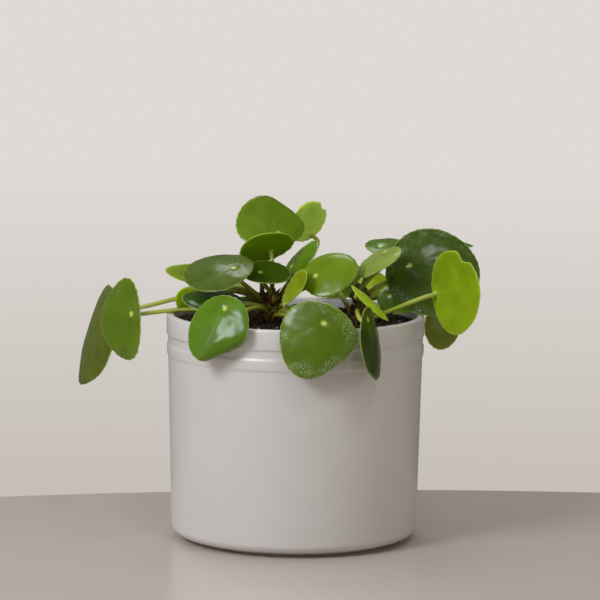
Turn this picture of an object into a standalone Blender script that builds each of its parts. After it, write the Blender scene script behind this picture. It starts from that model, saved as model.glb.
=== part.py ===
# Potted pilea: a glazed pot with a rim band and a recessed foot, potting soil, two woody stems,
# and round leaves whose stalks meet the blade inside its edge. Metres, +Z up, -Y is the front,
# and the origin is the middle of the pot's foot.
import math

import bmesh
import bpy
from mathutils import Matrix, Vector

MM = 0.001
GAP = 0.3 * MM                 # clearance between neighbouring pieces
MERGE = 0.00005

# pot
RIM_RADIUS = 75 * MM
POT_HEIGHT = 131.5 * MM
WALL = 4.5 * MM
BASE_RADIUS = 71.6 * MM        # where the side meets the rounded bottom edge
BOTTOM_EDGE = 6 * MM           # radius of that edge
BAND_HEIGHT = 12.5 * MM        # straight band below the rim
GROOVE_DEPTH = 0.9 * MM
GROOVE_HEIGHT = 4 * MM
BEAD_HEIGHT = 8 * MM
FOOT_RADIUS = 60 * MM
FOOT_HEIGHT = 2.5 * MM
FLOOR_THICKNESS = 5 * MM
INSIDE_CORNER = 4 * MM         # slope between the floor and the side, inside
LIP_ROUND = 1.5 * MM
POT_STEPS = 48

# soil
SOIL_TOP = 127.5 * MM
SOIL_MOUND = 0.5 * MM          # how far the soil's edge lies below its middle
SOIL_STEPS = 40
SOIL_FLAT = 25 * MM            # radius of its level middle
SOIL_SHOULDER = 50 * MM

# stems: where the foot and the leaning top are, how high the top is, and the radius
STEMS = {
    "stem_main": dict(foot=(-14 * MM, -6 * MM), top=(-16 * MM, -8 * MM), height=143 * MM, radius=3 * MM),
    "stem_side": dict(foot=(37 * MM, -12 * MM), top=(38 * MM, -10 * MM), height=150 * MM, radius=2.8 * MM),
}
STEM_SHAPE = ((0, 1), (0.3, 1), (0.6, 1), (0.85, 0.9), (1, 0.6))   # share of the height, of the radius

# leaves
BLADE_THICKNESS = 1 * MM
BLADE_SIDES = 24
BLADE_RINGS = 4
CURL_MOST = 150                # an edge never rolls further, in degrees
USUAL = dict(egg=0.08, dome=0.14, ripple=0.03, climb=66, lift=0.3, arch=0, arrive=0.25)

# stalks
STALK_RADIUS = 1.15 * MM
STALK_FOOT = 1.25              # how much thicker it starts at the stem
STALK_END = 1                  # its share of that radius at the blade
STALK_POINTS = 8
STALK_TIP = 1.5 * MM           # straight last stretch, square to the blade
STALK_CLEAR = 1.3              # room left at its ends, times its radius or the gap

# Each leaf says
#   stem    the stem it grows on
#   start   where its stalk leaves the stem: compass angle from +X, height
#   middle  where the middle of its blade is
#   faces   the way its upper face looks: compass angle (0 front, 90 right), rise
#   swing   how far its tip is turned from straight down
#   size    half length, half width
#   inset   how far short of the middle the stalk meets it, in half lengths
# and, where it differs from the usual leaf,
#   egg     how much narrower the blade gets towards its tip
#   dome    how far the edge drops below the middle, in half lengths (a cup has less than 0)
#   ripple  how far the edge waves, in half lengths
#   notch   a bite out of the edge (or a point, if less than 0): angle round the blade, depth in half
#           lengths, width in degrees
#   curl    an edge rolled under: angle round the blade, where it begins, radius of the roll
#   climb   how steeply the stalk leaves the stem
#   lift    how much of its span the stalk keeps that way, arrive how much it keeps near the blade
#   arch    how far the stalk bows upwards
# Lengths are in millimetres and angles in degrees.
LEAVES = {
    "left_outer": dict(
        stem="stem_main", start=(140, 133), middle=(-121, 50, 111), faces=(-71, 14), swing=-20,
        size=(30.8, 28), inset=0.6, egg=0.24, climb=50, arch=3, notch=(0, -0.1, 20), ripple=0.05,
    ),
    "left_inner": dict(
        stem="stem_main", start=(190, 129.5), middle=(-102.5, -4, 127), faces=(-51, 8), swing=-67,
        size=(19.5, 24.5), inset=0.6, climb=8, lift=0.5, arch=4, egg=0.2, ripple=0.09,
    ),
    "left_back": dict(
        stem="stem_main", start=(178, 139), middle=(-61, 18, 154), faces=(167, 60), swing=91,
        size=(16, 15), inset=0.4,
    ),
    "left_top": dict(
        stem="stem_main", start=(210, 138.5), middle=(-45, -20, 160), faces=(-22, 64), swing=-80,
        size=(21, 20.5), inset=0.45, ripple=0.05,
    ),
    "left_young": dict(
        stem="stem_main", start=(160, 135.4), middle=(-64, -3, 141), faces=(-150, 30), swing=150,
        size=(8.5, 7.5), inset=0.3,
    ),
    "left_under": dict(
        stem="stem_main", start=(237, 134.2), middle=(-48, -26, 144), faces=(17, 74), swing=-80,
        size=(18, 17), inset=0.4,
    ),
    "front_left": dict(
        stem="stem_main", start=(246, 129.4), middle=(-45, -70, 132), faces=(-28, 26), swing=-13,
        size=(21, 19), inset=0.6, curl=(-42, 10, 3.5),
    ),
    "crown_back": dict(
        stem="stem_main", start=(135, 138.5), middle=(-15, 25, 183), faces=(18, 41), swing=199,
        size=(19, 22), inset=0.5, ripple=0.1, curl=(60, 11, 12), arrive=0.45,
    ),
    "crown_front": dict(
        stem="stem_main", start=(78, 140), middle=(-18, 5, 171), faces=(201, 49), swing=141,
        size=(15.5, 17), inset=0.5, arrive=0.1, climb=53,
    ),
    "crown_right": dict(
        stem="stem_main", start=(52, 136), middle=(6, 54, 180.5), faces=(-139, 21), swing=150,
        size=(14, 13.5), inset=0.85, notch=(-75, 0.15, 7), climb=60,
    ),
    "crown_upright": dict(
        stem="stem_main", start=(25, 140), middle=(2, 8, 163), faces=(-66, 36), swing=144,
        size=(15, 13), inset=0.5, arrive=0.35, climb=53,
    ),
    "crown_cupped": dict(
        stem="stem_main", start=(300, 140), middle=(-17, -8, 153.5), faces=(11, 70), swing=28,
        size=(15, 15), inset=0.4, dome=-0.2, climb=53,
    ),
    "half_open": dict(
        stem="stem_main", start=(345, 134), middle=(1.5, -27, 148.5), faces=(-64, 34), swing=180,
        size=(12, 9.5), inset=0.95, egg=-0.3, dome=-0.3, climb=70, arrive=0.05,
    ),
    "middle_right": dict(
        stem="stem_main", start=(10, 136.5), middle=(19, -25, 159), faces=(-24, 42), swing=112,
        size=(17, 16), inset=0.5,
    ),
    "front_centre": dict(
        stem="stem_main", start=(284, 129.5), middle=(11, -84, 127), faces=(-6, 10), swing=-25,
        size=(22.5, 22), inset=0.5, egg=0.2, lift=0.12, notch=(-72, 0.15, 32),
    ),
    "front_under": dict(
        stem="stem_main", start=(318, 131.5), middle=(6, -38, 140), faces=(0, 80), swing=30,
        size=(12, 11), inset=0.4,
    ),
    "back_left": dict(
        stem="stem_main", start=(105, 132), middle=(-46, 46, 148), faces=(215, 55), swing=0,
        size=(20, 19), inset=0.5,
    ),
    "front_right": dict(
        stem="stem_side", start=(265, 129.5), middle=(45, -78, 125), faces=(73, 6), swing=25,
        size=(22.5, 17), inset=0.7, arrive=0.08, lift=0.4, climb=38,
    ),
    "slender": dict(
        stem="stem_side", start=(295, 134.5), middle=(43, -55, 146), faces=(83, 45), swing=20,
        size=(15.5, 9), inset=0.6, arrive=0.12,
    ),
    "right_pale": dict(
        stem="stem_side", start=(240, 142), middle=(46, -15, 165), faces=(-62, 57), swing=20,
        size=(15, 14.5), inset=0.6, egg=0.25, notch=(0, -0.08, 18),
    ),
    "right_back": dict(
        stem="stem_side", start=(135, 141), middle=(54, 40, 168), faces=(0, 73), swing=126,
        size=(13.5, 13.5), inset=0.4, climb=78, lift=0.5,
    ),
    "right_large": dict(
        stem="stem_side", start=(55, 141), middle=(79.5, -2, 157.5), faces=(0, 25), swing=76,
        size=(28, 27), inset=0.5, climb=60, arrive=0.45,
    ),
    "right_outer": dict(
        stem="stem_side", start=(325, 129.5), middle=(93, -42, 150), faces=(126, 0), swing=-100,
        size=(22.5, 24.5), inset=0.85, notch=(60, 0.15, 7), climb=20,
    ),
    "right_low": dict(
        stem="stem_side", start=(80, 135), middle=(87.5, 26, 120.5), faces=(29, 5), swing=-20,
        size=(14, 13), inset=0.5, climb=15, arch=8,
    ),
    "right_under": dict(
        stem="stem_side", start=(50, 131), middle=(60, 5, 140), faces=(5, 54), swing=60,
        size=(13, 12.5), inset=0.5, dome=0.08, climb=5, arrive=0.35,
    ),
    "right_behind": dict(
        stem="stem_side", start=(112, 131), middle=(45.5, 22.5, 147), faces=(2, 50), swing=160,
        size=(10, 9.5), inset=0.4, climb=20, arrive=0.35,
    ),
    "right_tip": dict(
        stem="stem_side", start=(85, 144), middle=(92, 32, 171), faces=(100, 82), swing=0,
        size=(13, 12), inset=0.4, climb=70, lift=0.45,
    ),
    "back_centre": dict(
        stem="stem_side", start=(160, 131), middle=(24, 64, 146), faces=(175, 40), swing=0,
        size=(19, 18), inset=0.5,
    ),
}


def clear_scene():
    for item in list(bpy.data.objects):
        bpy.data.objects.remove(item)


def new_collection(name):
    collection = bpy.data.collections.new(name)
    bpy.context.scene.collection.children.link(collection)
    return collection


def new_material(name, colour, roughness):
    material = bpy.data.materials.new(name)
    material.use_nodes = True
    shader = material.node_tree.nodes["Principled BSDF"]
    shader.inputs["Base Color"].default_value = (*colour, 1)
    shader.inputs["Roughness"].default_value = roughness
    shader.inputs["Metallic"].default_value = 0
    return material


def add_object(name, data, material, collection):
    item = bpy.data.objects.new(name, data)
    data.materials.append(material)
    collection.objects.link(item)
    return item


def turned(name, outline, steps, material, collection):
    """A closed solid of revolution; the outline starts and ends on the axis."""
    mesh = bpy.data.meshes.new(name)
    bm = bmesh.new()
    corners = [bm.verts.new((radius, 0, height)) for radius, height in outline]
    for first, second in zip(corners, corners[1:]):
        bm.edges.new((first, second))
    bm.to_mesh(mesh)
    bm.free()
    item = add_object(name, mesh, material, collection)
    screw = item.modifiers.new("turn", "SCREW")
    screw.steps = steps
    screw.render_steps = steps
    screw.use_merge_vertices = True
    screw.merge_threshold = MERGE
    return item


def arc(centre, radius, start, end, count):
    """Points of an arc in the outline's plane, angles in degrees from the outward direction."""
    angles = [math.radians(start + (end - start) * i / (count - 1)) for i in range(count)]
    return [(centre[0] + radius * math.cos(a), centre[1] + radius * math.sin(a)) for a in angles]


def pot_outline():
    inner = RIM_RADIUS - WALL
    band_low = POT_HEIGHT - BAND_HEIGHT
    bead_top = band_low - GROOVE_HEIGHT
    bead_low = bead_top - BEAD_HEIGHT
    groove = RIM_RADIUS - GROOVE_DEPTH
    edge_centre = (BASE_RADIUS - BOTTOM_EDGE, FOOT_HEIGHT + BOTTOM_EDGE)
    inside_low = FOOT_HEIGHT + FLOOR_THICKNESS
    inside_radius = BASE_RADIUS - WALL
    return [
        (0, inside_low),
        (inside_radius - INSIDE_CORNER, inside_low),
        (inside_radius, inside_low + INSIDE_CORNER),
        (inner, band_low),
        *arc((inner + LIP_ROUND, POT_HEIGHT - LIP_ROUND), LIP_ROUND, 180, 90, 4),
        *arc((RIM_RADIUS - LIP_ROUND, POT_HEIGHT - LIP_ROUND), LIP_ROUND, 90, 0, 4),
        (RIM_RADIUS, band_low + 1 * MM),
        (groove, band_low),
        (groove, bead_top),
        (RIM_RADIUS - 0.2 * MM, bead_top - 1.5 * MM),
        (RIM_RADIUS - 0.4 * MM, bead_low + 1.5 * MM),
        (RIM_RADIUS - 1.1 * MM, bead_low),
        *arc(edge_centre, BOTTOM_EDGE, 0, -90, 6),
        (FOOT_RADIUS, FOOT_HEIGHT),
        (FOOT_RADIUS - 0.5 * MM, 0),
        (0, 0),
    ]


def inside_radius_at(height):
    """The pot's inner radius at a height between its floor and the rim band."""
    low = FOOT_HEIGHT + FLOOR_THICKNESS + INSIDE_CORNER
    high = POT_HEIGHT - BAND_HEIGHT
    share = (height - low) / (high - low)
    return BASE_RADIUS - WALL + share * (RIM_RADIUS - BASE_RADIUS)


def soil_outline():
    floor = FOOT_HEIGHT + FLOOR_THICKNESS
    narrow = BASE_RADIUS - WALL
    edge = SOIL_TOP - SOIL_MOUND
    facet = math.cos(math.pi / SOIL_STEPS) * math.cos(math.pi / POT_STEPS)
    return [
        (0, SOIL_TOP),
        (SOIL_FLAT, SOIL_TOP),
        (SOIL_SHOULDER, SOIL_TOP - 0.3 * SOIL_MOUND),
        ((inside_radius_at(edge) - GAP) * facet, edge),
        ((narrow - GAP) * facet, floor + INSIDE_CORNER + GAP),
        ((narrow - INSIDE_CORNER - GAP) * facet, floor + GAP),
        (0, floor + GAP),
    ]


def tube(name, points, radii, material, collection):
    """A round rod along the points, as thick as the radii say."""
    curve = bpy.data.curves.new(name, "CURVE")
    curve.dimensions = "3D"
    curve.bevel_depth = 1
    curve.bevel_resolution = 2
    curve.use_fill_caps = True
    spline = curve.splines.new("POLY")
    spline.points.add(len(points) - 1)
    for slot, point, radius in zip(spline.points, points, radii):
        slot.co = (*point, 1)
        slot.radius = radius
    return add_object(name, curve, material, collection)


def stem_axis(name, height):
    """The middle of a stem at a height."""
    stem = STEMS[name]
    share = ((height - SOIL_TOP) / (stem["height"] - SOIL_TOP)) ** 2
    foot = Vector((*stem["foot"], height))
    top = Vector((*stem["top"], height))
    return foot.lerp(top, share)


def add_stem(name, material, collection):
    low = SOIL_TOP + 2 * GAP
    rise = STEMS[name]["height"] - low
    points = [stem_axis(name, low + rise * share) for share, thickness in STEM_SHAPE]
    radii = [STEMS[name]["radius"] * thickness for share, thickness in STEM_SHAPE]
    return tube(name, points, radii, material, collection)


def blade_point(leaf, across, along):
    """Where the point (across, along) of a flat unit disc lies on the blade, in its own frame."""
    half_length, half_width = (value * MM for value in leaf["size"])
    reach = math.hypot(across, along)
    turn = math.atan2(across, along)
    if "notch" in leaf:
        where, depth, width = leaf["notch"]
        offset = (math.degrees(turn) - where + 180) % 360 - 180
        pull = 1 - depth * reach * math.exp(-(offset / width) ** 2)
        across, along = across * pull, along * pull
    x = across * half_width * (1 - leaf["egg"] * along)
    y = along * half_length
    z = -leaf["dome"] * reach ** 2 * half_length
    z += leaf["ripple"] * reach ** 2 * half_length * math.sin(2 * turn + 1)
    if "curl" in leaf:
        angle, begin, radius = leaf["curl"]
        way = Vector((math.sin(math.radians(angle)), math.cos(math.radians(angle))))
        beyond = x * way.x + y * way.y - begin * MM
        if beyond > 0:
            roll = min(beyond / (radius * MM), math.radians(CURL_MOST))
            rest = beyond - roll * radius * MM
            forward = radius * MM * math.sin(roll) + rest * math.cos(roll) - beyond
            x += way.x * forward
            y += way.y * forward
            z -= radius * MM * (1 - math.cos(roll)) + rest * math.sin(roll)
    return Vector((x, y, z))


def blade_normal(leaf, across, along):
    """The way the upper face looks at a point of the blade, in the blade's own frame."""
    step = 0.1
    sideways = blade_point(leaf, across + step, along) - blade_point(leaf, across - step, along)
    lengthways = blade_point(leaf, across, along + step) - blade_point(leaf, across, along - step)
    return sideways.cross(lengthways).normalized()


def blade_frame(leaf):
    """Turns the blade's own frame (tip at +Y, upper face at +Z) to where the leaf grows."""
    compass, rise = (math.radians(value) for value in leaf["faces"])
    swing = math.radians(leaf["swing"])
    upper = Vector((math.sin(compass) * math.cos(rise), -math.cos(compass) * math.cos(rise), math.sin(rise)))
    fall = Vector((math.sin(compass) * math.sin(rise), -math.cos(compass) * math.sin(rise), -math.cos(rise)))
    tip = math.cos(swing) * fall + math.sin(swing) * upper.cross(fall)
    side = tip.cross(upper)
    turn = Matrix((side, tip, upper)).transposed().to_4x4()
    return Matrix.Translation(Vector(leaf["middle"]) * MM) @ turn


def add_blade(name, leaf, material, collection):
    bm = bmesh.new()
    bmesh.ops.create_circle(bm, cap_ends=True, cap_tris=True, segments=BLADE_SIDES, radius=1 / BLADE_RINGS)
    for ring in range(2, BLADE_RINGS + 1):
        rim = [edge for edge in bm.edges if edge.is_boundary]
        grown = bmesh.ops.extrude_edge_only(bm, edges=rim)["geom"]
        corners = [item for item in grown if isinstance(item, bmesh.types.BMVert)]
        bmesh.ops.scale(bm, vec=Vector((1, 1, 1)) * ring / (ring - 1), verts=corners)
    for corner in bm.verts:
        corner.co = blade_point(leaf, corner.co.x, corner.co.y)
    bmesh.ops.recalc_face_normals(bm, faces=bm.faces)
    mesh = bpy.data.meshes.new(name)
    bm.to_mesh(mesh)
    bm.free()
    item = add_object(name, mesh, material, collection)
    item.matrix_world = blade_frame(leaf)
    shell = item.modifiers.new("thickness", "SOLIDIFY")
    shell.thickness = BLADE_THICKNESS
    shell.offset = 0
    return item


def bezier(points, count):
    """Evenly spaced steps along a cubic curve through its two ends."""
    first, second, third, last = points
    steps = [i / (count - 1) for i in range(count)]
    return [
        first * (1 - t) ** 3 + second * 3 * t * (1 - t) ** 2 + third * 3 * t * t * (1 - t) + last * t ** 3
        for t in steps
    ]


def stalk_path(leaf):
    """From the side of the stem, up and out, and into the blade from below."""
    compass, height = leaf["start"]
    compass = math.radians(compass)
    height *= MM
    outward = Vector((math.cos(compass), math.sin(compass), 0))
    clear = STEMS[leaf["stem"]]["radius"] + GAP + STALK_CLEAR * STALK_RADIUS
    start = stem_axis(leaf["stem"], height) + outward * clear
    frame = blade_frame(leaf)
    upper = frame.to_3x3() @ blade_normal(leaf, 0, -leaf["inset"])
    meet = frame @ blade_point(leaf, 0, -leaf["inset"])
    tip = meet - upper * (BLADE_THICKNESS / 2 + STALK_CLEAR * GAP)
    end = tip - upper * STALK_TIP
    span = (end - start).length
    climb = math.radians(leaf["climb"])
    rise = Vector((0, 0, 1)) * math.sin(climb) + outward * math.cos(climb)
    arch = Vector((0, 0, leaf["arch"] * MM))
    leave = start + rise * span * leaf["lift"] + arch
    arrive = end - upper * span * leaf["arrive"] + arch
    return [*bezier([start, leave, arrive, end], STALK_POINTS), tip]


def add_stalk(name, leaf, material, collection):
    points = stalk_path(leaf)
    last = len(points) - 1
    radii = [STALK_RADIUS * (STALK_FOOT + (STALK_END - STALK_FOOT) * i / last) for i in range(last + 1)]
    return tube(name, points, radii, material, collection)


def build():
    clear_scene()
    plant = new_collection("potted_pilea")
    glaze = new_material("white_glaze", (0.58, 0.57, 0.55), 0.45)
    earth = new_material("potting_soil", (0.03, 0.02, 0.013), 0.95)
    bark = new_material("woody_stem", (0.11, 0.06, 0.025), 0.8)
    green = new_material("leaf_green", (0.09, 0.19, 0.012), 0.35)
    pale = new_material("stalk_green", (0.36, 0.42, 0.07), 0.5)
    turned("pot", pot_outline(), POT_STEPS, glaze, plant)
    turned("soil", soil_outline(), SOIL_STEPS, earth, plant)
    for name in STEMS:
        add_stem(name, bark, plant)
    for name, differs in LEAVES.items():
        leaf = {**USUAL, **differs}
        add_blade("leaf_" + name, leaf, green, plant)
        add_stalk("stalk_" + name, leaf, pale, plant)


build()
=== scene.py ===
import math
import random

import bmesh
import bpy
import numpy as np
from mathutils import Matrix, Vector, noise
from mathutils.bvhtree import BVHTree


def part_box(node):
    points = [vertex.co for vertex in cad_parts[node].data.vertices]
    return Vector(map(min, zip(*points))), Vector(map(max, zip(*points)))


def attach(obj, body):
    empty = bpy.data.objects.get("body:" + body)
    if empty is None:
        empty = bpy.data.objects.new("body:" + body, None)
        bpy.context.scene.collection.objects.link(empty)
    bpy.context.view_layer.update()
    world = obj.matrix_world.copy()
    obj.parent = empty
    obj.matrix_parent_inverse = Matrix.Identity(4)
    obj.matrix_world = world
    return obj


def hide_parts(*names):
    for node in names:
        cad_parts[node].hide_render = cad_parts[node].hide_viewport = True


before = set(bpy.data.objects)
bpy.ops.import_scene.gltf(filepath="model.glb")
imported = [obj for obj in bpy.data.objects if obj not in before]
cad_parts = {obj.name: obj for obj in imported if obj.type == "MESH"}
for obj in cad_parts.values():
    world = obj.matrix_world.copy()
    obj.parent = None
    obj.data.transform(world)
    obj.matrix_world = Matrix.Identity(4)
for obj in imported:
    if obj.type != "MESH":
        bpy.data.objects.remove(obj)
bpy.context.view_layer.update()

mm = 0.001
weld = 0.001 * mm
scene = bpy.context.scene
random.seed(7)
leafNames = sorted(name[5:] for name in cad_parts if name.startswith("leaf_"))


def toLinear(hexColour):
    values = [int(hexColour[i:i + 2], 16) / 255 for i in (1, 3, 5)]
    return [v / 12.92 if v <= 0.04045 else ((v + 0.055) / 1.055) ** 2.4 for v in values] + [1]


def addNode(tree, kind, settings=None, inputs=None):
    node = tree.nodes.new("ShaderNode" + kind)
    for name, value in (settings or {}).items():
        setattr(node, name, value)
    for name, value in (inputs or {}).items():
        if isinstance(value, bpy.types.NodeSocket):
            tree.links.new(value, node.inputs[name])
        else:
            node.inputs[name].default_value = value
    return node


def newMaterial(name, values):
    material = bpy.data.materials.new(name)
    material.use_nodes = True
    tree = material.node_tree
    shader = tree.nodes["Principled BSDF"]
    for socket, value in values.items():
        shader.inputs[socket].default_value = value
    return material, tree, shader


def perMetre(size):
    return 1 / (size * mm)    # a texture's scale from the size of its features in millimetres


def newPiece(name, bm, materials, slot, *nodes):
    bm.normal_update()
    mesh = bpy.data.meshes.new(name)
    bm.to_mesh(mesh)
    bm.free()
    for material in materials:
        mesh.materials.append(material)
    mesh.shade_smooth()
    piece = bpy.data.objects.new(name, mesh)
    scene.collection.objects.link(piece)
    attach(piece, "root")
    if nodes:
        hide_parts(*nodes)
    return piece


def mergedCopy(node):
    bm = bmesh.new()
    bm.from_mesh(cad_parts[node].data)
    bmesh.ops.remove_doubles(bm, verts=bm.verts, dist=weld)
    bm.verts.ensure_lookup_table()
    bm.faces.ensure_lookup_table()
    return bm


def layersFrom(start, most=100):
    # the vertices of a solid in rings, each one edge further from the first
    layers = [list(start)]
    seen = set(start)
    while len(layers) < most:
        ring = {edge.other_vert(v) for v in layers[-1] for edge in v.link_edges} - seen
        if not ring:
            break
        layers.append(sorted(ring, key=lambda v: v.index))
        seen |= ring
    return layers


def splineWeights(t):
    # shares of four neighbours in a smooth curve that runs through the middle two
    return ((2 * t ** 2 - t ** 3 - t) / 2, (3 * t ** 3 - 5 * t ** 2 + 2) / 2,
            (4 * t ** 2 - 3 * t ** 3 + t) / 2, (t ** 3 - t ** 2) / 2)


potLook = {
    "glaze": "#cdcac6",
    "warmth": "#c6c1bb",          # where the glaze lies thinner
    "roughness": 0.38,
    "cloudSize": 45,              # mm, clouds in the glaze
    "grainSize": 0.9,             # mm, the orange peel of a sprayed glaze
    "turns": 160,
    "edgeRound": 0.45,            # mm
    "edgeTurn": math.radians(17),     # sharper edges than this are rounded
    "flatTurn": math.radians(0.5),    # a point where the outline turns less is left out
}


def makeGlaze():
    # satin white glaze on stoneware: a soft broad highlight, faint clouds, fine orange peel
    material, tree, shader = newMaterial("satinWhiteGlaze", {
        "Roughness": potLook["roughness"], "IOR": 1.5, "Coat Weight": 0.25, "Coat Roughness": 0.25,
    })
    coords = addNode(tree, "TexCoord").outputs["Object"]
    clouds = addNode(tree, "TexNoise", None, {
        "Vector": coords, "Scale": perMetre(potLook["cloudSize"]), "Detail": 4, "Roughness": 0.6})
    mix = addNode(tree, "Mix", {"data_type": "RGBA"}, {
        0: clouds.outputs["Fac"], 6: toLinear(potLook["glaze"]), 7: toLinear(potLook["warmth"])})
    tree.links.new(mix.outputs[2], shader.inputs["Base Color"])
    rough = addNode(tree, "MapRange", None, {
        "Value": clouds.outputs["Fac"], "To Min": potLook["roughness"] - 0.05,
        "To Max": potLook["roughness"] + 0.06})
    tree.links.new(rough.outputs["Result"], shader.inputs["Roughness"])
    grain = addNode(tree, "TexNoise", None, {
        "Vector": coords, "Scale": perMetre(potLook["grainSize"]), "Detail": 2})
    bump = addNode(tree, "Bump", None, {
        "Height": grain.outputs["Fac"], "Strength": 0.05, "Distance": 0.1 * mm})
    tree.links.new(bump.outputs["Normal"], shader.inputs["Normal"])
    return material


def makePot():
    bm = mergedCopy("pot")
    everything = bm.verts[:] + bm.edges[:] + bm.faces[:]
    bmesh.ops.bisect_plane(bm, geom=everything, dist=weld, plane_co=(0, 0, 0), plane_no=(0, 1, 0),
                           clear_outer=True, clear_inner=True)
    beyond = [v for v in bm.verts if v.co.x < -weld]
    bmesh.ops.delete(bm, geom=beyond, context="VERTS")
    bmesh.ops.delete(bm, geom=bm.faces[:], context="FACES_KEEP_BOUNDARY")
    bmesh.ops.dissolve_limit(bm, angle_limit=potLook["flatTurn"], verts=bm.verts, edges=bm.edges)
    outline = bm.verts[:] + bm.edges[:]
    bmesh.ops.spin(bm, geom=outline, cent=(0, 0, 0), axis=(0, 0, 1), angle=math.tau,
                   steps=potLook["turns"], use_merge=True)
    bmesh.ops.remove_doubles(bm, verts=bm.verts, dist=10 * weld)
    bmesh.ops.recalc_face_normals(bm, faces=bm.faces)
    bm.normal_update()
    corners = [edge for edge in bm.edges if len(edge.link_faces) == 2
               and edge.calc_face_angle() > potLook["edgeTurn"]
               and abs(edge.verts[0].co.z - edge.verts[1].co.z) < weld]
    bmesh.ops.bevel(bm, geom=corners, offset=potLook["edgeRound"] * mm, offset_type="OFFSET", segments=3,
                    profile=0.5, affect="EDGES", clamp_overlap=True, material=-1)
    newPiece("pot_glazed", bm, [makeGlaze()], "white_glaze", "pot")


makePot()
print("pot made")


soilLook = {
    "dark": "#1c130c",
    "light": "#4a3524",
    "fibre": 2.5,                 # mm
    "rings": 40,
    "sides": 120,
    "clear": 0.1,                 # mm, between the soil and the pot's side
    "floorGap": 1,                # mm
    "narrow": 0.955,              # the pot is narrower at its floor
    "lump": 7,                    # mm
    "lumpHeight": 1.1,            # mm
    "crumbs": 700,
    "crumbSize": (0.5, 1.7),      # mm
    "crumbEdge": 2,               # mm, none lies nearer to the side
    "crumbSquash": (0.7, 1.3),
    "crumbLift": 0.2,             # its middle above the soil, as a share of its size
    "crumbRough": 0.35,           # share of its size
    "crumbDents": 1.3,            # mm
    "perlite": 22,
    "white": "#a39c8e",
}


def makeEarth():
    # moist peat: near black, matt, with paler dry fibres
    material, tree, shader = newMaterial("moistPeat", {"Roughness": 0.92, "IOR": 1.4})
    coords = addNode(tree, "TexCoord").outputs["Object"]
    fibres = addNode(tree, "TexNoise", None, {
        "Vector": coords, "Scale": perMetre(soilLook["fibre"]), "Detail": 6, "Roughness": 0.7})
    share = addNode(tree, "MapRange", None, {
        "Value": fibres.outputs["Fac"], "From Min": 0.4, "From Max": 0.75})
    mix = addNode(tree, "Mix", {"data_type": "RGBA"}, {
        0: share.outputs["Result"], 6: toLinear(soilLook["dark"]), 7: toLinear(soilLook["light"])})
    tree.links.new(mix.outputs[2], shader.inputs["Base Color"])
    bump = addNode(tree, "Bump", None, {
        "Height": fibres.outputs["Fac"], "Strength": 0.6, "Distance": 0.4 * mm})
    tree.links.new(bump.outputs["Normal"], shader.inputs["Normal"])
    return material


def discOf(rings, sides):
    # a flat unit disc of evenly spaced rings
    bm = bmesh.new()
    bmesh.ops.create_circle(bm, cap_ends=True, cap_tris=True, segments=sides, radius=1 / rings)
    for ring in range(2, rings + 1):
        rim = [edge for edge in bm.edges if edge.is_boundary]
        grown = bmesh.ops.extrude_edge_only(bm, edges=rim)["geom"]
        corners = [item for item in grown if isinstance(item, bmesh.types.BMVert)]
        bmesh.ops.scale(bm, vec=Vector((1, 1, 1)) * ring / (ring - 1), verts=corners)
    return bm


def soilHeight(x, y):
    spot = Vector((x, y, 0))
    lump = noise.noise(spot * perMetre(soilLook["lump"]))
    clod = noise.noise(spot * perMetre(soilLook["lump"] / 3))
    return (lump + 0.5 * clod) * soilLook["lumpHeight"] * mm


def makeSoil():
    low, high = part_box("soil")
    radius = high.x - soilLook["clear"] * mm
    top = high.z - soilLook["lumpHeight"] * mm
    bm = discOf(soilLook["rings"], soilLook["sides"])
    rim = [edge for edge in bm.edges if edge.is_boundary]
    for corner in bm.verts:
        x, y = corner.co.x * radius, corner.co.y * radius
        corner.co = (x, y, top + soilHeight(x, y))
    skirt = bmesh.ops.extrude_edge_only(bm, edges=rim)["geom"]
    below = [item for item in skirt if isinstance(item, bmesh.types.BMVert)]
    narrow = soilLook["narrow"]
    for corner in below:
        corner.co = (corner.co.x * narrow, corner.co.y * narrow, low.z + soilLook["floorGap"] * mm)
    bmesh.ops.holes_fill(bm, edges=[edge for edge in bm.edges if edge.is_boundary])
    bmesh.ops.recalc_face_normals(bm, faces=bm.faces)
    earth = makeEarth()
    newPiece("soil_rough", bm, [earth], "potting_soil", "soil")

    # loose crumbs, and a few off-white, matt grains of perlite among them
    perlite = newMaterial("perliteGrains", {
        "Base Color": toLinear(soilLook["white"]), "Roughness": 0.9})[0]
    grains = bmesh.new()
    for i in range(soilLook["crumbs"] + soilLook["perlite"]):
        size = random.uniform(*soilLook["crumbSize"]) * mm
        reach = math.sqrt(random.random()) * (radius - soilLook["crumbEdge"] * mm)
        turn = random.uniform(0, math.tau)
        x, y = reach * math.cos(turn), reach * math.sin(turn)
        place = Matrix.Translation((x, y, top + soilHeight(x, y) + size * soilLook["crumbLift"]))
        thin, wide = soilLook["crumbSquash"]
        squash = Matrix.Diagonal((random.uniform(thin, wide), random.uniform(thin, wide), thin, 1))
        turned = Matrix.Rotation(random.uniform(0, math.tau), 4, "Z")
        made = bmesh.ops.create_icosphere(grains, subdivisions=1, radius=size,
                                          matrix=place @ turned @ squash)
        for corner in made["verts"]:
            dent = noise.noise_vector(corner.co * perMetre(soilLook["crumbDents"]))
            corner.co += dent * size * soilLook["crumbRough"]
            for face in corner.link_faces:
                face.material_index = int(i >= soilLook["crumbs"])
    newPiece("soil_crumbs", grains, [earth, perlite], "potting_soil")


makeSoil()
print("soil made")


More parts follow.
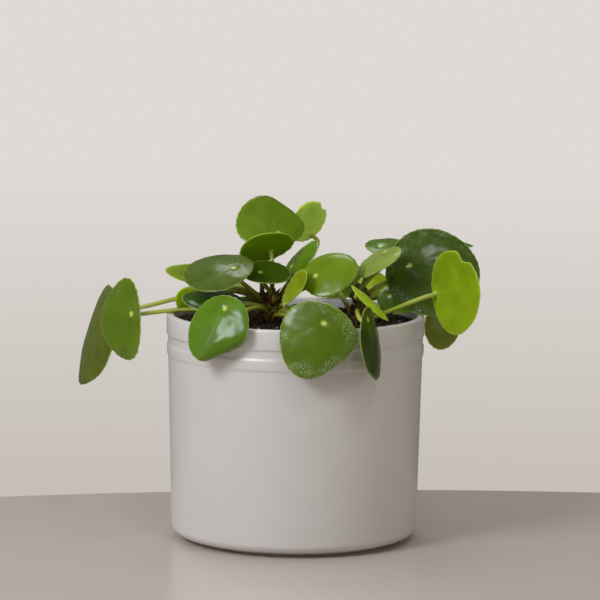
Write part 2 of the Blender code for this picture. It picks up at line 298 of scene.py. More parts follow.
stalkLook = {
    "young": "#b6c05a",           # near the blade
    "middle": "#93a030",
    "old": "#6a4019",             # at the stem
    "sides": 12,
    "steps": 5,                   # between two CAD points
    "flare": 1.5,                 # where it spreads into the blade
    "foot": 1.55,                 # and where it clasps the stem
    "intoBlade": 0.2,             # mm, closes the gap to the blade
    "intoStem": 2.4,              # mm, closes the gap to the stem
    "footDrop": 0.6,              # mm
    "footSwell": 1.15,
    "streak": 3,                  # mm
    "sharp": math.radians(60),    # a CAD stalk turns this sharply only at its two ends
    "widest": 3,                  # mm across
}
stemLook = {
    "bark": "#4a2f1c",
    "pale": "#7d6440",
    "scar": 3,                    # mm, a third of it upwards
    "sides": 20,
    "ringStep": 0.6,              # mm
    "intoSoil": 4,                # mm
    "knobs": 0.45,                # mm, old leaf scars
    "knobSize": 2.2,              # mm
    "scarTurn": 1.9,              # radians of a wave of scars from ring to ring
    "topRings": 6,                # the rings over which its top narrows
    "endDepth": 0.8,              # mm, corners this near to an end belong to it
}


def makeStalkSkin():
    # smooth juicy leaf stalk: pale green, olive lower down, brown where it leaves the stem
    material, tree, shader = newMaterial("smoothGreenStalk", {
        "Roughness": 0.42, "IOR": 1.42, "Subsurface Weight": 0.12, "Subsurface Scale": 1 * mm,
        "Subsurface Radius": (1, 1, 0.3),
    })
    along = addNode(tree, "Attribute", {"attribute_name": "alongStalk"}).outputs["Fac"]
    coords = addNode(tree, "TexCoord").outputs["Object"]
    streaks = addNode(tree, "TexNoise", None, {
        "Vector": coords, "Scale": perMetre(stalkLook["streak"]), "Detail": 3})
    uneven = addNode(tree, "Math", {"operation": "MULTIPLY_ADD"}, {
        0: streaks.outputs["Fac"], 1: 0.3, 2: -0.15})
    place = addNode(tree, "Math", {"operation": "ADD"}, {0: along, 1: uneven.outputs[0]}).outputs[0]
    low = addNode(tree, "MapRange", None, {"Value": place, "From Min": 0.08, "From Max": 0.36})
    high = addNode(tree, "MapRange", None, {"Value": place, "From Min": 0.45, "From Max": 0.9})
    base = addNode(tree, "Mix", {"data_type": "RGBA"}, {
        0: low.outputs[0], 6: toLinear(stalkLook["old"]), 7: toLinear(stalkLook["middle"])})
    skin = addNode(tree, "Mix", {"data_type": "RGBA"}, {
        0: high.outputs[0], 6: base.outputs[2], 7: toLinear(stalkLook["young"])})
    tree.links.new(skin.outputs[2], shader.inputs["Base Color"])
    bump = addNode(tree, "Bump", None, {
        "Height": streaks.outputs["Fac"], "Strength": 0.2, "Distance": 0.2 * mm})
    tree.links.new(bump.outputs["Normal"], shader.inputs["Normal"])
    return material


def makeBark():
    # thin brown bark, ringed by old leaf scars
    material, tree, shader = newMaterial("scarredBark", {"Roughness": 0.8, "IOR": 1.45})
    coords = addNode(tree, "TexCoord").outputs["Object"]
    rings = addNode(tree, "Mapping", None, {"Vector": coords, "Scale": (1, 1, 3)})
    scars = addNode(tree, "TexNoise", None, {
        "Vector": rings.outputs["Vector"], "Scale": perMetre(stemLook["scar"]), "Detail": 5})
    mix = addNode(tree, "Mix", {"data_type": "RGBA"}, {
        0: scars.outputs["Fac"], 6: toLinear(stemLook["bark"]), 7: toLinear(stemLook["pale"])})
    tree.links.new(mix.outputs[2], shader.inputs["Base Color"])
    bump = addNode(tree, "Bump", None, {
        "Height": scars.outputs["Fac"], "Strength": 0.7, "Distance": 0.4 * mm})
    tree.links.new(bump.outputs["Normal"], shader.inputs["Normal"])
    return material


def addTube(bm, points, radii, sides):
    # a round rod grown ring by ring along the points in an empty bmesh; returns its rings of vertices
    way = points[1] - points[0]
    turn = way.to_track_quat("Z", "Y").to_matrix().to_4x4()
    place = Matrix.Translation(points[0]) @ turn @ Matrix.Scale(radii[0], 4)
    rings = [bmesh.ops.create_circle(bm, segments=sides, radius=1, matrix=place)["verts"]]
    edges = bm.edges[:]
    ends = [edges]
    for i in range(1, len(points)):
        grown = bmesh.ops.extrude_edge_only(bm, edges=edges)["geom"]
        corners = [item for item in grown if isinstance(item, bmesh.types.BMVert)]
        ahead = points[min(i + 1, len(points) - 1)] - points[i - 1]
        bend = way.rotation_difference(ahead).to_matrix().to_4x4()
        grow = Matrix.Scale(radii[i] / radii[i - 1], 4)
        shift = Matrix.Translation(points[i]) @ bend @ grow @ Matrix.Translation(-points[i - 1])
        bmesh.ops.transform(bm, matrix=shift, verts=corners)
        ring = set(corners)
        edges = [item for item in grown
                 if isinstance(item, bmesh.types.BMEdge) and set(item.verts) <= ring]
        rings.append(corners)
        way = ahead
    ends.append(edges)
    for rim in ends:
        bmesh.ops.edgeloop_fill(bm, edges=rim)
    return rings


def smoothLine(points, steps):
    # a curve through the points, with more points between them
    line = []
    for i in range(len(points) - 1):
        before = points[max(i - 1, 0)]
        start, end = points[i], points[i + 1]
        after = points[min(i + 2, len(points) - 1)]
        for step in range(steps):
            t = step / steps
            bend = (2 * before - 5 * start + 4 * end - after) * t ** 2
            bend += (3 * (start - end) + after - before) * t ** 3
            line.append(start + ((end - before) * t + bend) / 2)
    return line + [points[-1]]


def stalkRings(name):
    # middle and radius of a CAD stalk's rings, from the stem to the blade
    blade = BVHTree.FromBMesh(mergedCopy("leaf_" + name))
    bm = mergedCopy("stalk_" + name)
    rims = [corner for corner in bm.verts
            if any(edge.calc_face_angle() > stalkLook["sharp"] for edge in corner.link_edges)]
    foot = max(rims, key=lambda corner: blade.find_nearest(corner.co)[3])
    rings = []
    for ring in layersFrom([v for v in rims if (v.co - foot.co).length < stalkLook["widest"] * mm]):
        middle = sum((corner.co for corner in ring), Vector()) / len(ring)
        rings.append((middle, sum((corner.co - middle).length for corner in ring) / len(ring)))
    bm.free()
    return rings


def stemMiddle(node, height):
    # the middle of a stem at a height
    corners = [v.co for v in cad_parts[node].data.vertices]
    low, high = min(c.z for c in corners), max(c.z for c in corners)
    ends = []
    for level in (low, high):
        ring = [c for c in corners if abs(c.z - level) < stemLook["endDepth"] * mm]
        ends.append(sum(ring, Vector()) / len(ring))
    share = max(0, min(1, (height - low) / (high - low)))
    return ends[0].lerp(ends[1], share ** 2).xy.to_3d() + Vector((0, 0, height))


stalkEnds = {}    # for each leaf, its stalk's top, its foot, and the way from the foot into the stem
stemNodes = [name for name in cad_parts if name.startswith("stem_")]


def makeStalk(name, material):
    rings = stalkRings(name)
    points = [middle for middle, radius in rings]
    radii = [radius for middle, radius in rings]
    stem = min(stemNodes, key=lambda node: (stemMiddle(node, points[0].z) - points[0]).length)
    inward = (stemMiddle(stem, points[0].z) - points[0]).normalized()
    stalkEnds[name] = (points[-1], points[0], inward)
    drop = Vector((0, 0, stalkLook["footDrop"] * mm))
    points.insert(0, points[0] + inward * stalkLook["intoStem"] * mm - drop)
    radii[0] *= stalkLook["footSwell"]
    radii.insert(0, radii[0] * stalkLook["foot"])
    points.append(points[-1] + (points[-1] - points[-2]).normalized() * stalkLook["intoBlade"] * mm)
    radii.append(radii[-1] * stalkLook["flare"])
    line = smoothLine(points, stalkLook["steps"])
    along = np.linspace(0, len(radii) - 1, len(line))
    thick = np.interp(along, range(len(radii)), radii)
    bm = bmesh.new()
    layer = bm.verts.layers.float.new("alongStalk")
    rings = addTube(bm, line, [float(r) for r in thick], stalkLook["sides"])
    for i, ring in enumerate(rings):
        for corner in ring:
            corner[layer] = i / (len(rings) - 1)
    bmesh.ops.recalc_face_normals(bm, faces=bm.faces)
    newPiece("stalkSkin_" + name, bm, [material], "stalk_green", "stalk_" + name)


def makeStem(node, material):
    low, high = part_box(node)
    step = stemLook["ringStep"] * mm
    count = int((high.z - low.z + stemLook["intoSoil"] * mm) / step)
    heights = [low.z - stemLook["intoSoil"] * mm + i * step for i in range(count)]
    points = [stemMiddle(node, height) for height in heights]
    widest = (high.x - low.x + high.y - low.y) / 4
    top = count - stemLook["topRings"]
    radii = []
    for i in range(count):
        uneven = 2 * noise.noise(Vector((i * 0.3, 0, 0)))
        scar = 0.5 + 0.5 * math.sin(i * stemLook["scarTurn"] + uneven)
        taper = 1 if i < top else 0.92 - 0.1 * (i - top)    # narrows to the growing point
        radii.append((widest - stemLook["knobs"] * mm * scar) * taper)
    bm = bmesh.new()
    rings = addTube(bm, points, radii, stemLook["sides"])
    for ring in rings:
        middle = sum((corner.co for corner in ring), Vector()) / len(ring)
        for corner in ring:
            knob = noise.noise(corner.co * perMetre(stemLook["knobSize"])) * stemLook["knobs"] * mm
            corner.co += (corner.co - middle).normalized() * knob
    bmesh.ops.recalc_face_normals(bm, faces=bm.faces)
    newPiece(node + "_bark", bm, [material], "woody_stem", node)


stalkSkin = makeStalkSkin()
bark = makeBark()
for name in leafNames:
    makeStalk(name, stalkSkin)
for name in stemNodes:
    makeStem(name, bark)


stipuleLook = {
    "green": "#6c7424",
    "dry": "#5c3415",
    "patch": 5,                   # mm
    "length": (5, 8),             # mm
    "width": 4.8,                 # mm
    "cup": 1.1,                   # mm, how far its edges bend round the stalk
    "lean": 18,                   # degrees outwards
    "apart": 40,                  # degrees either side of the stalk
    "thickness": 0.3,             # mm
}


def makeStipules():
    # papery scales, green going brown and dry: a pointed pair clasps the foot of every stalk
    material, tree, shader = newMaterial("paperyStipule", {
        "Roughness": 0.68, "IOR": 1.4, "Subsurface Weight": 0.3, "Subsurface Scale": 1 * mm,
        "Subsurface Radius": (1, 0.8, 0.2),
    })
    coords = addNode(tree, "TexCoord").outputs["Object"]
    patches = addNode(tree, "TexNoise", None, {
        "Vector": coords, "Scale": perMetre(stipuleLook["patch"]), "Detail": 4})
    share = addNode(tree, "MapRange", None, {
        "Value": patches.outputs["Fac"], "From Min": 0.42, "From Max": 0.62})
    mix = addNode(tree, "Mix", {"data_type": "RGBA"}, {
        0: share.outputs[0], 6: toLinear(stipuleLook["green"]), 7: toLinear(stipuleLook["dry"])})
    tree.links.new(mix.outputs[2], shader.inputs["Base Color"])
    bump = addNode(tree, "Bump", None, {
        "Height": patches.outputs["Fac"], "Strength": 0.5, "Distance": 0.3 * mm})
    tree.links.new(bump.outputs["Normal"], shader.inputs["Normal"])

    flat = discOf(5, 18)
    pattern = bpy.data.meshes.new("stipule")
    flat.to_mesh(pattern)
    flat.free()
    bm = bmesh.new()
    for name in leafNames:
        foot, inward = stalkEnds[name][1:]
        for apart in (-stipuleLook["apart"], stipuleLook["apart"]):
            size = random.uniform(*stipuleLook["length"]) * mm
            turned = Matrix.Rotation(math.radians(apart), 3, "Z") @ -inward
            lean = math.radians(stipuleLook["lean"] * random.uniform(0.5, 1.5))
            upward = (turned * math.sin(lean) + Vector((0, 0, 1)) * math.cos(lean)).normalized()
            side = upward.cross(turned).normalized()
            before = len(bm.verts)
            bm.from_mesh(pattern)
            bm.verts.ensure_lookup_table()
            for corner in bm.verts[before:]:
                x, y = corner.co.xy
                height = (y + 1) / 2
                narrow = x * (1 - height ** 3) * stipuleLook["width"] * mm
                bent = turned * (x * x * -stipuleLook["cup"] + height ** 2) * mm
                corner.co = foot + inward * mm + upward * height * size + side * narrow + bent
    bpy.data.meshes.remove(pattern)
    scales = newPiece("stipules", bm, [material], "stalk_green")
    shell = scales.modifiers.new("thickness", "SOLIDIFY")
    shell.thickness = stipuleLook["thickness"] * mm
    shell.offset = 0


makeStipules()
print("stems, stalks and stipules made")


leafShape = {
    "cadRings": 4,                # rings of the CAD blade round its middle
    "thickness": 0.85,            # mm
    "edge": 0.4,                  # share of it left at the edge
    "edgeWidth": 3,               # mm over which it thins
    "spacing": 1.1,               # mm between rings
    "sides": 112,
    "veins": 9,
    "veinDepth": 0.07,            # mm
    "veinWidth": 0.9,             # mm
    "navelDepth": 0.7,            # mm
    "navelWidth": 2.2,            # mm
    "crinkle": 0.4,               # mm, uneven pads between the veins
    "padSize": 7,                 # mm
    "veinStart": 4,               # mm from the navel
    "veinEnd": 8,                 # mm from the edge
    "crinkleStart": 5,            # mm from the navel
    "toothHeight": 0.2,           # mm, the edge's shallow teeth
    "toothLength": 5,             # mm
    "toothReach": 1.5,            # mm inwards
    "inset": 2.4,                 # tooth heights by which the edge stays inside the CAD blade's
    "insetReach": 3,              # mm inwards
}
# colour of the upper face, of the lower face, and how much lime specks and a painted speckled sheen spot
# it
leafLook = {
    "left_outer": ("#54600a", "#6b7524", 0.1),
    "left_inner": ("#566e04", "#738a20", 0.2),
    # the lower colours of left_back, left_young and crown_right are partly their own paler green, partly
    # a painted glow of light shining through the leaf
    "left_back": ("#6f9a2a", "#c4da53", 0),
    "left_top": ("#4c5f12", "#76852d", 0.15),
    "left_young": ("#7aa628", "#c4da30", 0),
    "left_under": ("#2c4a0a", "#396423", 0),
    "front_left": ("#557806", "#5d7f1f", 0.1),
    "crown_back": ("#607a06", "#809923", 0),
    "crown_front": ("#5a8a1c", "#7f9a0a", 0),
    "crown_right": ("#6f9a2c", "#c6dc66", 0),
    "crown_upright": ("#5a7b12", "#7d9928", 0),
    "crown_cupped": ("#395108", "#596c22", 0),
    "half_open": ("#7a8908", "#a2a822", 0),
    "middle_right": ("#678302", "#849f1e", 0),
    "front_centre": ("#566f0c", "#788c24", 1),
    "front_under": ("#4a6410", "#5f7c2a", 0),
    "back_left": ("#5c8c22", "#8aa344", 0),
    "front_right": ("#384806", "#5a6a23", 0),
    "slender": ("#a0c018", "#a2cb28", 0),
    "right_pale": ("#7c8d36", "#a4ad49", 0.1),
    "right_back": ("#50700a", "#75911e", 0),
    "right_large": ("#3e5206", "#687723", 1),
    "right_outer": ("#7c9c1e", "#7e9504", 0),
    "right_low": ("#6c7a08", "#a7b024", 0),
    # right_under's upper colour is lightened to make up for the shade it lies in: painted light
    "right_under": ("#78a010", "#84cb23", 0.3),
    "right_behind": ("#9fb616", "#cbcb2b", 0),
    "right_tip": ("#4d7a22", "#7c963c", 0),
    "back_centre": ("#5a8a22", "#88a040", 0),
}


# what shows in the skin, in millimetres but for colours and shares
skinLook = {
    "veinWander": 9,
    "veinHalf": (0.05, 0.5),
    "veinFade": (1, 9),           # from the edge
    "cloud": 12,
    "cloudTone": (0.86, 1.14),    # darkest and lightest share of the green
    # the edge colour: partly the margin's own paler green, partly a painted highlight where light
    # catches the thin edge
    "rim": "#a9b860",
    "paleLitEdgeShare": 0.45,
    "paleLitEdgeWidth": (0.15, 0.8),
    "navel": "#c9da62",
    "navelShare": 0.9,
    "navelReach": (0.3, 2.4),
    "limeSpeckAndSheen": "#cfd6bd",           # lime left by dried water, and a painted speckled sheen
    "speckAndSheenShare": 0.5,
    "speckSize": 0.75,
    "speckPatch": 11,
    "speckEdge": (3, 11),         # more of them towards the edge
    "cell": 1.6,
}


def makeLeafSkin(name, roughness, vein, veinShare, gloss):
    # waxy leaf skin, soft highlights above and matt below: light glows through it a little,
    # with fine veins from the navel, a paler edge that also carries a painted highlight where light
    # catches it, and uneven green
    material, tree, shader = newMaterial(name, {
        "Roughness": roughness, "IOR": 1.4, "Specular IOR Level": 0.28, "Coat Weight": gloss,
        "Coat Roughness": 0.17, "Subsurface Weight": 0.75, "Subsurface Scale": 2.4 * mm,
        "Subsurface Radius": (0.8, 1, 0.15),
    })
    # the tints read here: some lower ones hold a painted glow of light through the leaf, and
    # right_under's upper one holds painted light against its shade
    tint = addNode(tree, "Attribute", {"attribute_name": "skin" if gloss else "underColourAndGlow"})
    plane = addNode(tree, "Attribute", {"attribute_name": "leafPlane"}).outputs["Vector"]
    parts = addNode(tree, "SeparateXYZ", None, {0: plane})
    across, along, edge = parts.outputs
    coords = addNode(tree, "TexCoord").outputs["Object"]
    flat = addNode(tree, "CombineXYZ", None, {0: across, 1: along})
    reach = addNode(tree, "VectorMath", {"operation": "LENGTH"}, {0: flat.outputs[0]}).outputs["Value"]
    wander = addNode(tree, "TexNoise", None, {
        "Vector": coords, "Scale": perMetre(skinLook["veinWander"]), "Detail": 2}).outputs["Fac"]
    angle = addNode(tree, "Math", {"operation": "ARCTAN2"}, {0: across, 1: along}).outputs[0]
    turns = addNode(tree, "Math", {"operation": "MULTIPLY_ADD"}, {
        0: angle, 1: leafShape["veins"] / math.tau, 2: wander}).outputs[0]
    saw = addNode(tree, "Math", {"operation": "FRACT"}, {0: turns}).outputs[0]
    off = addNode(tree, "Math", {"operation": "SUBTRACT"}, {0: saw, 1: 0.5}).outputs[0]
    away = addNode(tree, "Math", {"operation": "ABSOLUTE"}, {0: off}).outputs[0]
    fromVein = addNode(tree, "Math", {"operation": "MULTIPLY"}, {0: away, 1: reach}).outputs[0]
    thin, wide = skinLook["veinHalf"]
    veins = addNode(tree, "MapRange", {"interpolation_type": "SMOOTHSTEP"}, {
        "Value": fromVein, "From Min": thin, "From Max": wide, "To Min": veinShare, "To Max": 0})
    near, far = skinLook["veinFade"]
    fade = addNode(tree, "MapRange", None, {
        "Value": edge, "From Min": near, "From Max": far, "To Min": 0.15, "To Max": 1})
    veinMask = addNode(tree, "Math", {"operation": "MULTIPLY"}, {
        0: veins.outputs[0], 1: fade.outputs[0]})
    clouds = addNode(tree, "TexNoise", None, {
        "Vector": coords, "Scale": perMetre(skinLook["cloud"]), "Detail": 4})
    dark, light = skinLook["cloudTone"]
    tone = addNode(tree, "MapRange", None, {
        "Value": clouds.outputs["Fac"], "From Min": 0.3, "From Max": 0.7,
        "To Min": dark, "To Max": light})
    body = addNode(tree, "VectorMath", {"operation": "SCALE"}, {
        0: tint.outputs["Color"], "Scale": tone.outputs[0]})
    veined = addNode(tree, "Mix", {"data_type": "RGBA"}, {
        0: veinMask.outputs[0], 6: body.outputs[0], 7: toLinear(vein)})
    # paler edge: partly the margin's own colour, partly a painted highlight of light catching it
    near, far = skinLook["paleLitEdgeWidth"]
    rim = addNode(tree, "MapRange", {"interpolation_type": "SMOOTHSTEP"}, {
        "Value": edge, "From Min": near, "From Max": far, "To Min": skinLook["paleLitEdgeShare"], "To Max": 0})
    edgePaleAndLit = addNode(tree, "Mix", {"data_type": "RGBA"}, {
        0: rim.outputs[0], 6: veined.outputs[2], 7: toLinear(skinLook["rim"])})
    near, far = skinLook["navelReach"]
    dot = addNode(tree, "MapRange", {"interpolation_type": "SMOOTHSTEP"}, {
        "Value": reach, "From Min": near, "From Max": far,
        "To Min": skinLook["navelShare"], "To Max": 0})
    dotted = addNode(tree, "Mix", {"data_type": "RGBA"}, {
        0: dot.outputs[0], 6: edgePaleAndLit.outputs[2], 7: toLinear(skinLook["navel"])})

    # specks of lime in patches, most of them near the edge; they also stand in for a painted speckled
    # sheen
    spots = addNode(tree, "TexVoronoi", None, {
        "Vector": coords, "Scale": perMetre(skinLook["speckSize"]), "Randomness": 1})
    small = addNode(tree, "MapRange", None, {
        "Value": spots.outputs["Distance"], "From Min": 0.15, "From Max": 0.5,
        "To Min": 1, "To Max": 0})
    patches = addNode(tree, "TexNoise", None, {
        "Vector": coords, "Scale": perMetre(skinLook["speckPatch"]), "Detail": 3})
    near, far = skinLook["speckEdge"]
    outer = addNode(tree, "MapRange", {"interpolation_type": "SMOOTHSTEP"}, {
        "Value": edge, "From Min": near, "From Max": far, "To Min": 0.16, "To Max": -0.06})
    speckAndSheenPatches = addNode(tree, "Math", {"operation": "ADD"}, {
        0: patches.outputs["Fac"], 1: outer.outputs[0]})
    where = addNode(tree, "MapRange", None, {
        "Value": speckAndSheenPatches.outputs[0], "From Min": 0.6, "From Max": 0.72})
    speckAndSheenMask = addNode(tree, "Math", {"operation": "MULTIPLY"}, {0: small.outputs[0], 1: where.outputs[0]})
    amount = addNode(tree, "Math", {"operation": "MULTIPLY"}, {
        0: speckAndSheenMask.outputs[0], 1: tint.outputs["Alpha"]})
    strength = addNode(tree, "Math", {"operation": "MULTIPLY"}, {
        0: amount.outputs[0], 1: skinLook["speckAndSheenShare"]})
    speckledAndSheened = addNode(tree, "Mix", {"data_type": "RGBA"}, {
        0: strength.outputs[0], 6: dotted.outputs[2], 7: toLinear(skinLook["limeSpeckAndSheen"])})
    tree.links.new(speckledAndSheened.outputs[2], shader.inputs["Base Color"])
    rough = addNode(tree, "MapRange", None, {
        "Value": clouds.outputs["Fac"], "To Min": roughness - 0.08, "To Max": roughness + 0.1})
    tree.links.new(rough.outputs[0], shader.inputs["Roughness"])
    cells = addNode(tree, "TexNoise", None, {
        "Vector": coords, "Scale": perMetre(skinLook["cell"]), "Detail": 3})
    bump = addNode(tree, "Bump", None, {
        "Height": cells.outputs["Fac"], "Strength": 0.16, "Distance": 0.25 * mm})
    tree.links.new(bump.outputs["Normal"], shader.inputs["Normal"])
    return material


def ringInOrder(ring):
    # the corners of a closed ring, one after another
    left = set(ring)
    line = [ring[0]]
    while len(line) < len(ring):
        left.discard(line[-1])
        beside = (edge.other_vert(line[-1]) for edge in line[-1].link_edges)
        line.append(next(v for v in beside if v in left))
    return np.array([v.co for v in line])


def besideRing(ring, other):
    # the same ring, turned and started so that each corner lies beside its own in the other one
    turned = [np.roll(way, k, axis=0) for way in (ring, ring[::-1]) for k in range(len(ring))]
    return min(turned, key=lambda way: np.linalg.norm(way - other))


def bladeGrid(name):
    # the middle of a CAD blade as an array of points, ring by ring, turning to the left seen from above
    bm = mergedCopy("leaf_" + name)
    tip = stalkEnds[name][0]
    hubs = sorted(bm.verts, key=lambda v: len(v.link_edges))[-2:]
    touched = bm.faces[BVHTree.FromBMesh(bm).find_nearest(tip)[2]]
    lowerFace = set().union(*layersFrom([hubs[0]], leafShape["cadRings"] + 1))
    if not set(touched.verts) <= lowerFace:
        hubs.reverse()
    upward = (hubs[1].co - hubs[0].co).normalized()
    side = upward.orthogonal()
    ahead = upward.cross(side)
    shells = []
    for hub in hubs:
        layers = layersFrom([hub], leafShape["cadRings"] + 1)
        first = sorted(layers[1], key=lambda v: math.atan2(
            (v.co - hub.co).dot(ahead), (v.co - hub.co).dot(side)))
        rings = [np.array([hub.co] * len(first)), np.array([v.co for v in first])]
        for layer in layers[2:]:
            rings.append(besideRing(ringInOrder(layer), rings[-1]))
        shells.append(np.array(rings))
    below = np.array([besideRing(ring, other) for ring, other in zip(shells[0], shells[1])])
    bm.free()
    return (shells[1] + below) / 2


def bladePoints(grid, reach, turn):
    # the smooth surface over a blade's grid: reach 0 at the middle to 1 at the edge, turn in radians
    last, sides = grid.shape[0] - 1, grid.shape[1]
    inner = np.roll(grid[1], sides // 2, axis=0)
    rows = np.concatenate([[inner], grid, [2 * grid[last] - grid[last - 1]]])
    ring = np.minimum((reach * last).astype(int), last - 1)
    alongRing = reach * last - ring
    place = (turn / math.tau * sides) % sides
    sector = place.astype(int)
    alongSector = place - sector
    points = np.zeros((len(reach), 3))
    for i, ringWeight in enumerate(splineWeights(alongRing)):
        for j, sectorWeight in enumerate(splineWeights(alongSector)):
            share = (ringWeight * sectorWeight)[:, None]
            points += share * rows[ring + i, (sector + j - 1) % sides]
    return points


def makeLeaf(name, skins):
    grid = bladeGrid(name)
    reaches, turns = np.linspace(0.02, 0.95, 40), np.linspace(0, math.tau, 90)
    sample = np.array([(reach, turn) for reach in reaches for turn in turns])
    spots = bladePoints(grid, sample[:, 0], sample[:, 1])
    nearest = sample[np.argmin(np.linalg.norm(spots - np.array(stalkEnds[name][0]), axis=1))]
    navel = nearest[0] * np.array([math.cos(nearest[1]), math.sin(nearest[1])])
    tipWay = -navel / np.linalg.norm(navel)
    sideWay = np.array([tipWay[1], -tipWay[0]])
    spokes = np.linalg.norm(np.diff(grid, axis=0), axis=2).sum(axis=0)
    tipTurn = int(round(math.atan2(tipWay[1], tipWay[0]) / math.tau * len(spokes)))
    quarters = [spokes[(tipTurn + k * len(spokes) // 4) % len(spokes)] for k in range(4)]
    halfLength = (quarters[0] + quarters[2]) / 2 / mm
    halfWidth = (quarters[1] + quarters[3]) / 2 / mm

    # spokes and rings of the fine mesh run out from the navel, as the veins do
    bm = discOf(max(8, int((halfLength + halfWidth) / 2 / leafShape["spacing"])), leafShape["sides"])
    disc = np.array([corner.co.xy for corner in bm.verts])
    share = np.linalg.norm(disc, axis=1)
    way = disc / np.maximum(share, 1e-9)[:, None]
    dot = way @ navel
    toRim = -dot + np.sqrt(dot ** 2 + 1 - navel @ navel)
    flat = navel + way * (share * toRim)[:, None]
    reach = np.minimum(np.linalg.norm(flat, axis=1), 1)
    turn = np.arctan2(flat[:, 1], flat[:, 0])
    across = (flat - navel) @ sideWay * halfWidth
    along = (flat - navel) @ tipWay * halfLength
    edge = (1 - reach) * (halfLength + halfWidth) / 2
    away = np.hypot(across, along)

    # shallow teeth along the edge
    seed = sum(ord(letter) for letter in name)
    teeth = math.tau * halfLength / leafShape["toothLength"]
    tooth = np.sin(turn * round(teeth) + 1.5 * np.sin(3 * turn + seed))
    tooth = tooth * np.exp(-edge / leafShape["toothReach"])
    inset = (leafShape["inset"] + tooth) * np.exp(-edge / leafShape["insetReach"])
    reach = reach * (1 - leafShape["toothHeight"] / halfLength * inset)
    points = bladePoints(grid, reach, turn)
    for corner, point in zip(bm.verts, points):
        corner.co = point
    bm.normal_update()

    # veins pressed into the face, uneven pads between them, and the navel's dimple
    veinTurn = np.arctan2(across, along) * leafShape["veins"] / math.tau
    fromVein = np.abs((veinTurn + 0.5) % 1 - 0.5) * math.tau / leafShape["veins"] * away
    press = leafShape["veinDepth"] * np.exp(-(fromVein / leafShape["veinWidth"]) ** 2)
    press = press * np.clip(away / leafShape["veinStart"], 0, 1)
    press = press * np.clip(edge / leafShape["veinEnd"], 0, 1)
    press += leafShape["navelDepth"] * np.exp(-(away / leafShape["navelWidth"]) ** 2)
    for i, corner in enumerate(bm.verts):
        pad = noise.noise(corner.co * perMetre(leafShape["padSize"]) + Vector((seed, 0, 0)))
        pad *= leafShape["crinkle"] * min(1, away[i] / leafShape["crinkleStart"])
        corner.co += corner.normal * (pad - press[i]) * mm

    upper, under, speckAndSheen = leafLook[name]
    plane = bm.verts.layers.float_vector.new("leafPlane")
    flesh = bm.verts.layers.deform.new()
    for i, corner in enumerate(bm.verts):
        corner[plane] = Vector((across[i], along[i], edge[i]))
        thin = min(1, edge[i] / leafShape["edgeWidth"])
        corner[flesh][0] = leafShape["edge"] + (1 - leafShape["edge"]) * math.sqrt(thin)
    leaf = newPiece("leafBlade_" + name, bm, skins, "leaf_green", "leaf_" + name)
    leaf.vertex_groups.new(name="flesh")
    # per-leaf tints, some with a painted glow below and painted light against shade above
    for layer, colour in (("skin", upper), ("underColourAndGlow", under)):
        values = leaf.data.attributes.new(layer, "FLOAT_COLOR", "POINT")
        tint = toLinear(colour)[:3] + [speckAndSheen if layer == "skin" else 0]
        values.data.foreach_set("color", tint * len(leaf.data.vertices))
    shell = leaf.modifiers.new("thickness", "SOLIDIFY")
    shell.thickness = leafShape["thickness"] * mm
    shell.offset = 0
    shell.vertex_group = "flesh"
    shell.material_offset = 1


leafSkins = [
    makeLeafSkin("waxyLeafTop", 0.34, "#7d9a2a", 0.1, 0.3),
    makeLeafSkin("mattLeafUnderside", 0.55, "#a9b84a", 0.22, 0),
]
for name in leafNames:
    makeLeaf(name, leafSkins)
print("leaves made")


stageLook = {
    "floor": "#c4b7ab",
    "floorRadius": 1.1,           # m
    "floorBehind": 0.15,          # m, how far it reaches behind the pot
    # the wall seen behind: lighter high up, darker low down, as painted shade
    "wallHigh": "#dfdad6",
    "wallLow": "#c6bfb8",
    "ambientLeft": 0.58,
    "ambientRight": 0.29,
    "mirroredShare": 0.28,        # the room is darker where glossy faces mirror it
}
# place, the point it shines at, size, power, colour
lights = {
    "key": ((-0.95, -1.0, 1.0), (0, 0, 0.1), 0.6, 16, "#f2f5ff"),
    "fill": ((1.2, -0.8, 0.5), (0, 0, 0.12), 0.8, 1.7, "#fff2e4"),
    "window": ((-0.1, 0.65, 1.4), (0, 0, 0.12), 0.5, 3.5, "#fbfdff"),
    "glint": ((0.3, -0.9, 1.5), (0, 0, 0.12), 0.28, 3.2, "#ffffff"),
}
cameraLook = {
    "lens": 208.2,                # mm
    "sensor": 36,                 # mm
    "place": (0, -2, 0.399),      # m
    "down": 7.4,                  # degrees
    "pan": -0.07,                 # degrees
    "roll": 0.545,                # degrees
}


def makeStage():
    # lacquered board, smooth enough to mirror the pot softly
    satin = newMaterial("satinFloor", {
        "Base Color": toLinear(stageLook["floor"]), "Roughness": 0.22, "Specular IOR Level": 0.3})[0]
    bm = bmesh.new()
    radius = stageLook["floorRadius"]
    bmesh.ops.create_circle(bm, cap_ends=True, segments=256, radius=radius)
    bmesh.ops.translate(bm, vec=(0.1, stageLook["floorBehind"] - radius, 0), verts=bm.verts)
    mesh = bpy.data.meshes.new("floor")
    bm.to_mesh(mesh)
    bm.free()
    mesh.materials.append(satin)
    floor = bpy.data.objects.new("floor", mesh)
    scene.collection.objects.link(floor)


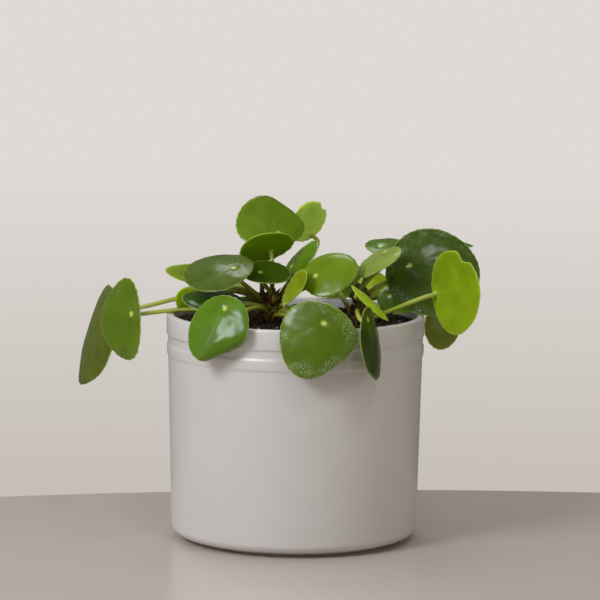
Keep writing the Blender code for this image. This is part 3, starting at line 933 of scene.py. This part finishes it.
def makeWorld():
    # pale wall behind, painted darker towards the bottom as painted shade, and a soft room that is
    # brighter on the left
    world = bpy.data.worlds.new("studio")
    scene.world = world
    world.use_nodes = True
    tree = world.node_tree
    way = addNode(tree, "TexCoord").outputs["Generated"]
    parts = addNode(tree, "SeparateXYZ", None, {0: way})
    # the wall is painted darker towards the bottom: painted shade
    height = addNode(tree, "MapRange", None, {
        "Value": parts.outputs[2], "From Min": -0.18, "From Max": -0.09})
    wall = addNode(tree, "Mix", {"data_type": "RGBA"}, {
        0: height.outputs[0], 6: toLinear(stageLook["wallLow"]), 7: toLinear(stageLook["wallHigh"])})
    room = addNode(tree, "MapRange", None, {
        "Value": parts.outputs[0], "From Min": -0.8, "From Max": 0.8,
        "To Min": stageLook["ambientLeft"], "To Max": stageLook["ambientRight"]})
    rays = addNode(tree, "LightPath").outputs
    seen = rays["Is Camera Ray"]
    mirrored = addNode(tree, "MapRange", None, {
        "Value": rays["Is Glossy Ray"], "To Min": 1, "To Max": stageLook["mirroredShare"]})
    strength = addNode(tree, "Math", {"operation": "MULTIPLY"}, {
        0: room.outputs[0], 1: mirrored.outputs[0]})
    sky = tree.nodes["Background"]
    tree.links.new(strength.outputs[0], sky.inputs["Strength"])
    backdrop = addNode(tree, "Background", None, {"Color": wall.outputs[2]})
    both = addNode(tree, "MixShader", None, {0: seen, 1: sky.outputs[0], 2: backdrop.outputs[0]})
    sky.inputs["Color"].default_value = (1, 1, 1, 1)
    tree.links.new(both.outputs[0], tree.nodes["World Output"].inputs["Surface"])


def addLight(name, place, target, size, power, colour):
    light = bpy.data.lights.new(name, "AREA")
    light.shape = "DISK"
    light.size = size
    light.energy = power
    light.color = toLinear(colour)[:3]
    item = bpy.data.objects.new(name, light)
    item.location = place
    item.rotation_euler = (Vector(target) - Vector(place)).to_track_quat("-Z", "Y").to_euler()
    scene.collection.objects.link(item)


def makeCamera():
    camera = bpy.data.cameras.new("camera")
    camera.lens = cameraLook["lens"]
    camera.sensor_width = cameraLook["sensor"]
    item = bpy.data.objects.new("camera", camera)
    tilt = Matrix.Rotation(math.radians(90 - cameraLook["down"]), 4, "X")
    pan = Matrix.Rotation(math.radians(cameraLook["pan"]), 4, "Z")
    roll = Matrix.Rotation(math.radians(cameraLook["roll"]), 4, "Z")
    item.matrix_world = Matrix.Translation(cameraLook["place"]) @ pan @ tilt @ roll
    scene.collection.objects.link(item)
    scene.camera = item


makeStage()
makeWorld()
for name, values in lights.items():
    addLight(name, *values)
makeCamera()
scene.view_settings.view_transform = "Standard"
print("stage set")
